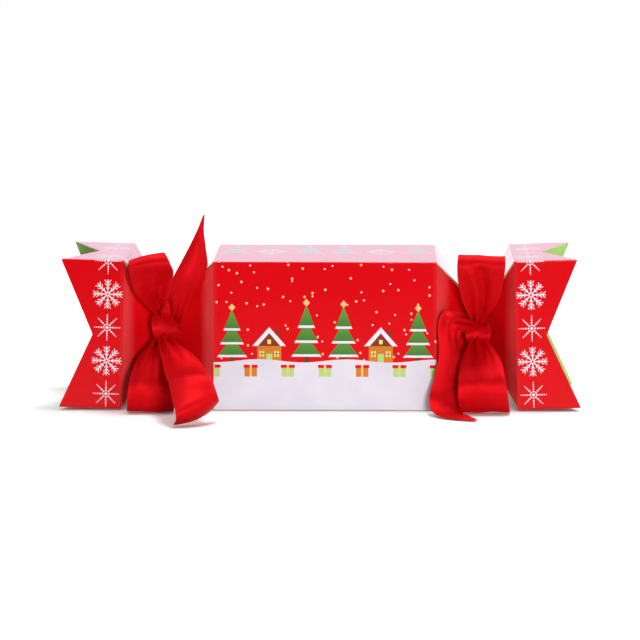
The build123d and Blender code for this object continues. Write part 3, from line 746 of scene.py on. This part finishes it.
# The shares across and along where a crease starts and ends, its height in millimetres and its breadth
CREASES = {
    ("left", "upper"): [(0.95, 0.26, 0.45, 0.07, -3.2, 0.16), (0.1, 0.22, 0.3, 0.05, 1.6, 0.1)],
    ("left", "lower"): [(0.62, 0.05, 0.8, 0.2, -3.4, 0.08), (0.48, 0.05, 0.6, 0.16, 1.6, 0.08)],
    ("right", "upper"): [(0.5, 0.4, 0.68, 0.12, -3.2, 0.12), (0.28, 0.38, 0.56, 0.18, 1.6, 0.1)],
    ("right", "lower"): [(0.5, 0.04, 0.45, 0.12, -1.6, 0.06)],
    "left_bow_upper_tail": [],
    "left_bow_lower_tail": [(0.0, 0.5, 0.8, 0.6, -3.5, 0.2)],
    "right_bow_front_tail": [],
    "right_bow_rear_tail": [],
}


def ease(points, share):
    """A point on the smooth line through the given ones, at a share of the way along."""
    spans = len(points) - 1
    index = min(int(share * spans), spans - 1)
    part = share * spans - index
    before, here = points[max(index - 1, 0)], points[index]
    ahead, after = points[index + 1], points[min(index + 2, spans)]
    cubic = 3 * (here - ahead) + after - before
    square = 2 * before - 5 * here + 4 * ahead - after
    return here + 0.5 * part * ((ahead - before) + part * (square + part * cubic))


def new_piece(name, bm, material, body, slot, *nodes):
    """Make a mesh object that stands for the given nodes and rides on a body, if one is given."""
    mesh = bpy.data.meshes.new(name)
    for face in bm.faces:
        face.smooth = True
    bm.to_mesh(mesh)
    bm.free()
    mesh.materials.append(material)
    piece = bpy.data.objects.new(name, mesh)
    bpy.context.scene.collection.objects.link(piece)
    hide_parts(*nodes)
    if body is not None:
        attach(piece, body)
    return piece


def thicken(piece, thickness, subdivisions=1):
    """Give a sheet its thickness, after smoothing it."""
    smooth = piece.modifiers.new("smooth", "SUBSURF")
    smooth.levels = smooth.render_levels = subdivisions
    wall = piece.modifiers.new("thickness", "SOLIDIFY")
    wall.thickness = thickness
    wall.offset = 0.0


def pressed(creases, u, v):
    """How far the creases lift or sink a ribbon at a share across and along it."""
    slimness = 3  # a strip is about three times as long as it is wide
    lift = 0.0
    for u0, v0, u1, v1, height, breadth in creases:
        run = Vector((u1 - u0, slimness * (v1 - v0)))
        start = Vector((u - u0, slimness * (v - v0)))
        share = min(max(start.dot(run) / run.length_squared, 0.0), 1.0)
        lift += height * exp(-((start - share * run).length / breadth) ** 2)
    return lift


def ribbon_strip(bm, rows, ribbon, gathered_ends, seed, creases=()):
    """Lay a strip of ribbon through the given rows, pleated where it is gathered into a knot."""
    columns, steps_per_row = 20, 8
    pleats, pleat_depth, gather_reach = 2.5, 1.3, 0.42
    ripple_height, ripples_across, ripples_along = 0.7, 2.2, 5
    step = 0.004
    lefts = [Vector(row[0]) for row in rows]
    rights = [Vector(row[1]) for row in rows]
    crowns = [row[2] for row in rows]
    middles = [(a + b) / 2 for a, b in zip(lefts, rights)]
    length = sum((b - a).length for a, b in zip(middles, middles[1:]))
    width = ribbon.width / MM
    layer = bm.loops.layers.uv.get("UVMap") or bm.loops.layers.uv.new("UVMap")
    strip = bmesh.ops.create_grid(
        bm, x_segments=columns, y_segments=steps_per_row * len(rows), size=0.5, calc_uvs=True,
    )["verts"]
    for loop in {loop for vert in strip for loop in vert.link_loops}:
        share = loop[layer].uv
        loop[layer].uv = (share.x * width, share.y * length)
    for vert in strip:
        u, v = vert.co.x + 0.5, vert.co.y + 0.5
        left, right = ease(lefts, v), ease(rights, v)
        ahead = ease(middles, min(v + step, 1.0)) - ease(middles, max(v - step, 0.0))
        outward = (right - left).cross(ahead).normalized()
        from_knot = (1.0, v, min(v, 1 - v))[gathered_ends]
        gather = max(0.0, 1 - from_knot / gather_reach)
        nested = -1 if gathered_ends == 2 and v > 0.5 else 1
        chord = (right - left).length
        spare = max(0.0, width / chord - 1)
        height = pleat_depth * nested * gather * chord / (pi * pleats) * spare ** 0.5
        pleat = height * sin(tau * pleats * u + seed)
        ripple = noise.noise(Vector((ripples_across * u, ripples_along * v, seed)))
        fold = (1 - gather) * ripple_height * sin(pi * u) * ripple
        crown = ease(crowns, v) * 4 * u * (1 - u)
        vert.co = (left.lerp(right, u) + outward * (crown + pleat + fold + pressed(creases, u, v))) * MM
    return length * MM


def tied_knot(end, ribbon):
    """A pulled knot: ribbon drawn over a tight bundle, with the folds left standing beside it."""
    middle, half = KNOT_CORES[end]
    first_seed = 9
    bm = bmesh.new()
    bm.loops.layers.uv.new("UVMap")
    core = bmesh.ops.create_uvsphere(bm, u_segments=32, v_segments=20, radius=1.0, calc_uvs=True)["verts"]
    bmesh.ops.scale(bm, vec=Vector(half) * MM, verts=core)
    bmesh.ops.translate(bm, vec=Vector(middle) * MM, verts=core)
    for number, rows in enumerate(KNOTS[end]):
        ribbon_strip(bm, rows, ribbon, 0, first_seed + number)
    return bm


def neck_ribbon(end, ribbon):
    """The ribbon drawn round a neck, pleated along its length in the bottom of the groove."""
    columns, steps_round = 44, 120
    squareness = 6  # how nearly the way round is square; 2 would make it round
    pleats, edge_depth, middle_depth, depth_change = 4, 0.5, 1.25, 0.45
    slow_wander, quick_wander = 1.1, 0.6
    sunk, edge_droop = 0.4, 0.9
    side_gap = 0.02
    low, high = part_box(f"{end}_ribbon_wrap")
    half = (high.y - low.y) / 2
    girth = 8 * half
    axis_height = (low.z + high.z) / 2
    bm = bmesh.new()
    layer = bm.loops.layers.uv.new("UVMap")
    bmesh.ops.create_grid(bm, x_segments=columns, y_segments=steps_round, size=0.5, calc_uvs=True)
    for face in bm.faces:
        for loop in face.loops:
            share = loop[layer].uv
            loop[layer].uv = (share.x * ribbon.width / MM, share.y * girth / MM)
    for vert in bm.verts:
        u, turn = vert.co.x + 0.5, (vert.co.y + 0.5) * tau
        from_middle = 2 * u - 1
        corner = (abs(cos(turn)) ** squareness + abs(sin(turn)) ** squareness) ** (1 / squareness)
        depth = middle_depth + depth_change * sin(3 * turn + 7 * u)
        depth = edge_depth + depth * (1 - from_middle ** 2)
        wander = slow_wander * sin(2 * turn) + quick_wander * sin(5 * turn)
        pleat = depth * (sin(tau * pleats * u + wander) - 1)
        droop = edge_droop * from_middle ** 4
        reach = (half - (sunk + droop) * MM + pleat * MM) / corner
        x = low.x + (side_gap + (1 - 2 * side_gap) * u) * (high.x - low.x)
        vert.co = (x, -reach * cos(turn), axis_height + reach * sin(turn))
    bmesh.ops.remove_doubles(bm, verts=bm.verts, dist=0.01 * MM)
    bmesh.ops.recalc_face_normals(bm, faces=bm.faces)
    return bm, girth


def cover(node, *materials):
    """Give a CAD node its finishes and hand back its mesh."""
    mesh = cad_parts[node].data
    mesh.materials.clear()
    for material in materials:
        mesh.materials.append(material)
    return mesh


class CRACKER_OT_print_board(bpy.types.Operator):
    """Print the carton: ink outside, green inside and raw pulp along the cuts"""

    bl_idname = "cracker.print_board"
    bl_label = "Print Board"

    def execute(self, context):
        board = context.scene.cracker_board
        inside, edge = inner_board(board), cut_board(board)
        necks = {(end, part): neck_print(end, part, board) for end in ENDS for part in NECK_PARTS}
        for side, outward in SIDES.items():
            self.dress(f"body_{side}_panel", outward, body_print(side, board), inside, edge)
            for end in ENDS:
                for part in NECK_PARTS:
                    self.dress(f"{end}_{part}_neck_{side}", outward, necks[end, part], inside, edge)
                self.dress(f"{end}_flare_{side}", outward, flare_print(end, side, board), inside, edge)
        for flap in ("body_glue_flap", "left_flare_glue_flap", "right_flare_glue_flap"):
            self.dress(flap, SIDES["back"], inside, inside, edge)
        return {"FINISHED"}

    def dress(self, node, outward, outside, inside, edge):
        """Faces that look outwards get the print, those that look inwards the green, the rest bare pulp."""
        slope = 0.3  # between a neck panel's slant and a cut through the board
        for polygon in cover(node, outside, inside, edge).polygons:
            facing = polygon.normal.dot(outward)
            polygon.material_index = 0 if facing > slope else 1 if facing < -slope else 2


class CRACKER_OT_wind_necks(bpy.types.Operator):
    """Wind gathered ribbon round both necks and pull the knots tight"""

    bl_idname = "cracker.wind_necks"
    bl_label = "Wind Necks"

    def execute(self, context):
        ribbon = context.scene.cracker_ribbon
        cloth = satin(ribbon)
        for end in ENDS:
            bm = tied_knot(end, ribbon)
            knot = new_piece(f"{end}_knot_satin", bm, cloth, "carton", "satin_ribbon", f"{end}_bow_knot")
            thicken(knot, ribbon.thickness)
            bm, length = neck_ribbon(end, ribbon)
            wrap = new_piece(f"{end}_wrap_satin", bm, cloth, "carton", "satin_ribbon", f"{end}_ribbon_wrap")
            thicken(wrap, ribbon.thickness, 0)
        return {"FINISHED"}


class CRACKER_OT_fold_loops(bpy.types.Operator):
    """Fold the four loops of the two bows"""

    bl_idname = "cracker.fold_loops"
    bl_label = "Fold Loops"

    drawn_by = {
        ("left", "upper"): "left_lower_tail_pull",
        ("left", "lower"): "left_upper_tail_pull",
        ("right", "upper"): "right_front_tail_pull",
        ("right", "lower"): "right_rear_tail_pull",
    }

    def execute(self, context):
        ribbon = context.scene.cracker_ribbon
        cloth = bpy.data.materials["woven_satin_ribbon"]
        for number, ((end, way), rows) in enumerate(LOOPS.items()):
            bm = bmesh.new()
            length = ribbon_strip(bm, rows, ribbon, 2, number, CREASES[end, way])
            name, node = f"{end}_{way}_loop_satin", f"{end}_bow_{way}_loop"
            loop = new_piece(name, bm, cloth, "carton", "satin_ribbon", node)
            thicken(loop, ribbon.thickness)
            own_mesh(loop)
        return {"FINISHED"}


class CRACKER_OT_hang_tails(bpy.types.Operator):
    """Hang the four loose ends of the two bows"""

    bl_idname = "cracker.hang_tails"
    bl_label = "Hang Tails"

    def execute(self, context):
        ribbon = context.scene.cracker_ribbon
        cloth = bpy.data.materials["woven_satin_ribbon"]
        first_seed = 5
        for number, (node, (share, rows)) in enumerate(TAILS.items()):
            bm = bmesh.new()
            length = ribbon_strip(bm, rows, ribbon, 1, first_seed + number, CREASES[node])
            body = node.replace("_bow", "")
            tail = new_piece(body + "_satin", bm, cloth, None, "satin_ribbon", node)
            thicken(tail, ribbon.thickness)
            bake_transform(tail)
        return {"FINISHED"}


class CRACKER_OT_fit_snap(bpy.types.Operator):
    """Give the snap's card strips, compound and paper sleeve their finish"""

    bl_idname = "cracker.fit_snap"
    bl_label = "Fit Snap"

    def execute(self, context):
        card = plain_paper("grey_snap_card", "#B9AE9C", "#8F8576", 1.2, 0.8)
        compound = plain_paper("friction_compound", "#4A4A50", "#2C2A2E", 0.3, 0.9)
        for node in ("left_snap_strip", "right_snap_strip"):
            cover(node, card)
        for node in ("snap_charge", "snap_striker"):
            cover(node, compound)
        cover("snap_sleeve", plain_paper("buff_sleeve_paper", "#E4D7BC", "#CDBB98", 0.9, 0.8))
        return {"FINISHED"}


class CRACKER_OT_fill_body(bpy.types.Operator):
    """Finish the folded crown, the rolled slip and the spinning top that lie in the body"""

    bl_idname = "cracker.fill_body"
    bl_label = "Fill Body"

    def execute(self, context):
        cover("paper_crown", plain_paper("crepe_tissue", "#3FA35B", "#2C7F44", 0.7, 0.75))
        cover("motto_slip", plain_paper("slip_paper", "#F1ECDD", "#DDD3BB", 0.5, 0.7))
        cover("spinning_top", turned_beech())
        return {"FINISHED"}


class CRACKER_OT_set_stage(bpy.types.Operator):
    """Set the camera, the white room and its lamps"""

    bl_idname = "cracker.set_stage"
    bl_label = "Set Stage"

    def execute(self, context):
        scene, stage = context.scene, context.scene.cracker_stage
        powers = {"key_lamp": stage.key_power, "front_lamp": stage.front_power}
        scene.view_settings.view_transform = "Standard"
        self.place_camera(scene, stage)
        self.lay_floor(scene)
        self.light_room(scene, stage)
        for name, (place, size) in LAMPS.items():
            self.hang_lamp(scene, name, place, size, powers[name])
        return {"FINISHED"}

    def place_camera(self, scene, stage):
        """Stand the camera where the photograph was taken from."""
        data = bpy.data.cameras.new("photo_camera")
        data.lens = stage.lens
        data.sensor_width = 36
        camera = bpy.data.objects.new("photo_camera", data)
        camera.location = stage.camera_place
        down, left = stage.camera_tilt
        camera.rotation_euler = (pi / 2 - down, 0, left)
        scene.collection.objects.link(camera)
        scene.camera = camera

    def lay_floor(self, scene):
        """A floor just under the cracker."""
        half_width, below = 4.0, 0.05 * MM
        bm = bmesh.new()
        bmesh.ops.create_grid(bm, x_segments=1, y_segments=1, size=half_width)
        mesh = bpy.data.meshes.new("floor")
        bm.to_mesh(mesh)
        bm.free()
        mesh.materials.append(self.paper_sweep())
        floor = bpy.data.objects.new("floor", mesh)
        floor.location.z = -below
        scene.collection.objects.link(floor)

    def paper_sweep(self):
        """White paper sweep: it shows white to the camera and keeps the shadow, with a painted contact
        shadow under the cracker. Places are in metres.
        """
        paper_tone, mirrored_tone = 0.85, 0.05
        mirror_dark, mirror_pale = -0.5, -0.12  # in gloss the near paper is dark, up to the cracker's front
        white_depth = 0.4  # how far behind or beside the middle the paper glows in full
        near_white, near_dim = -0.85, -0.45  # and it glows again towards the camera
        least_glow, more_glow = 0.35, 0.7
        painted_shadow_reach = 8 * MM
        material = bpy.data.materials.new("white_paper_sweep")
        material.use_nodes = True
        tree = material.node_tree
        tree.nodes.clear()
        path = add_node(tree, "ShaderNodeLightPath").node
        camera, gloss = path.outputs["Is Camera Ray"], path.outputs["Is Glossy Ray"]
        place = add_node(tree, "ShaderNodeTexCoord", out="Object")
        place = add_node(tree, "ShaderNodeSeparateXYZ", place).node
        x, y = place.outputs["X"], place.outputs["Y"]
        near = add_node(tree, "ShaderNodeMapRange", y, mirror_dark, mirror_pale, mirrored_tone, paper_tone)
        tone = add_node(tree, "ShaderNodeMix", gloss, None, paper_tone, near)
        paper = add_node(tree, "ShaderNodeBsdfDiffuse", tone)
        aside = add_node(tree, MATH, x, operation="ABSOLUTE")
        depth = add_node(tree, MATH, y, aside, operation="ADD")
        far = add_node(tree, "ShaderNodeMapRange", depth, 0.0, white_depth, 0.0, 1.0)
        mirrored = add_node(tree, MATH, gloss, far, operation="MULTIPLY")
        towards = add_node(tree, "ShaderNodeMapRange", y, near_white, near_dim, 1.0, 0.0)
        all_round = add_node(tree, MATH, far, towards, operation="MAXIMUM")
        level = add_node(tree, MATH, all_round, more_glow, least_glow, operation="MULTIPLY_ADD")
        # Painted contact shadow: the glow that the camera sees dims where the cracker lies within reach
        # above the paper
        contact_shade_factor = add_node(tree, "ShaderNodeAmbientOcclusion", None, painted_shadow_reach, out="AO")
        glow_with_painted_shadow = add_node(tree, MATH, level, contact_shade_factor, operation="MULTIPLY")
        seen = add_node(tree, MATH, camera, glow_with_painted_shadow, mirrored, operation="MULTIPLY_ADD")
        glow = add_node(tree, "ShaderNodeEmission", (1.0, 1.0, 1.0, 1.0), seen)
        add_node(tree, "ShaderNodeOutputMaterial", add_node(tree, "ShaderNodeAddShader", paper, glow))
        return material

    def light_room(self, scene, stage):
        """A white room: white to the camera and in reflections of its far side, dimmer as light."""
        white, mirror_tint = (1.0, 1.0, 1.0, 1.0), (1.05, 0.92, 1.08, 1.0)
        far_side = (0.35, 1.0, 0.3)
        dark_until, white_from, darkest = -0.35, 0.2, 0.08
        world = bpy.data.worlds.new("white_room")
        scene.world = world
        world.use_nodes = True
        tree = world.node_tree
        tree.nodes.clear()
        path = add_node(tree, "ShaderNodeLightPath").node
        rays = ("Camera", "Glossy", "Transmission")
        camera, gloss, clear = (path.outputs[f"Is {ray} Ray"] for ray in rays)
        way = add_node(tree, "ShaderNodeTexCoord", out="Generated")
        depth = add_node(tree, VECTOR_MATH, way, far_side, operation="DOT_PRODUCT", out="Value")
        mirrored = add_node(tree, "ShaderNodeMapRange", depth, dark_until, white_from, darkest, 1.0)
        seen = add_node(tree, MATH, camera, clear, operation="MAXIMUM")
        strength = add_node(tree, "ShaderNodeMix", gloss, None, stage.ambient, mirrored)
        strength = add_node(tree, "ShaderNodeMix", seen, None, strength, 1.0)
        tint = lay_ink(tree, gloss, mirror_tint, white)
        background = add_node(tree, "ShaderNodeBackground", tint, strength)
        add_node(tree, "ShaderNodeOutputWorld", background)

    def hang_lamp(self, scene, name, place, size, power):
        """A large soft lamp aimed at the cracker."""
        data = bpy.data.lights.new(name, "AREA")
        data.energy = power
        data.size = size
        lamp = bpy.data.objects.new(name, data)
        lamp.location = place
        aim = Vector((0, 0, BOX_WIDTH / 2)) - Vector(place)
        lamp.rotation_euler = aim.to_track_quat("-Z", "Y").to_euler()
        scene.collection.objects.link(lamp)


OPERATORS = (
    CRACKER_OT_print_board,
    CRACKER_OT_wind_necks,
    CRACKER_OT_fold_loops,
    CRACKER_OT_hang_tails,
    CRACKER_OT_fit_snap,
    CRACKER_OT_fill_body,
    CRACKER_OT_set_stage,
)
GROUPS = {"cracker_board": CrackerBoard, "cracker_ribbon": CrackerRibbon, "cracker_stage": CrackerStage}


class CRACKER_PT_dressing(bpy.types.Panel):
    """Sizes and colours of the cracker, with the steps that dress it"""

    bl_idname = "CRACKER_PT_dressing"
    bl_label = "Christmas Cracker"
    bl_space_type = "VIEW_3D"
    bl_region_type = "UI"
    bl_category = "Cracker"

    def draw(self, context):
        for name in GROUPS:
            group = getattr(context.scene, name)
            column = self.layout.box().column()
            for setting in group.bl_rna.properties:
                if not setting.is_readonly and setting.identifier != "name":
                    column.prop(group, setting.identifier)
        for operator in OPERATORS:
            self.layout.operator(operator.bl_idname)


CLASSES = (*GROUPS.values(), *OPERATORS, CRACKER_PT_dressing)


def register():
    for cls in CLASSES:
        bpy.utils.register_class(cls)
    for name, group in GROUPS.items():
        setattr(bpy.types.Scene, name, PointerProperty(type=group))


def unregister():
    for name in GROUPS:
        delattr(bpy.types.Scene, name)
    for cls in reversed(CLASSES):
        bpy.utils.unregister_class(cls)


def main():
    register()
    bpy.ops.cracker.print_board()
    bpy.ops.cracker.wind_necks()
    bpy.ops.cracker.fold_loops()
    bpy.ops.cracker.hang_tails()
    bpy.ops.cracker.fit_snap()
    bpy.ops.cracker.fill_body()
    bpy.ops.cracker.set_stage()


if __name__ == "__main__":
    main()
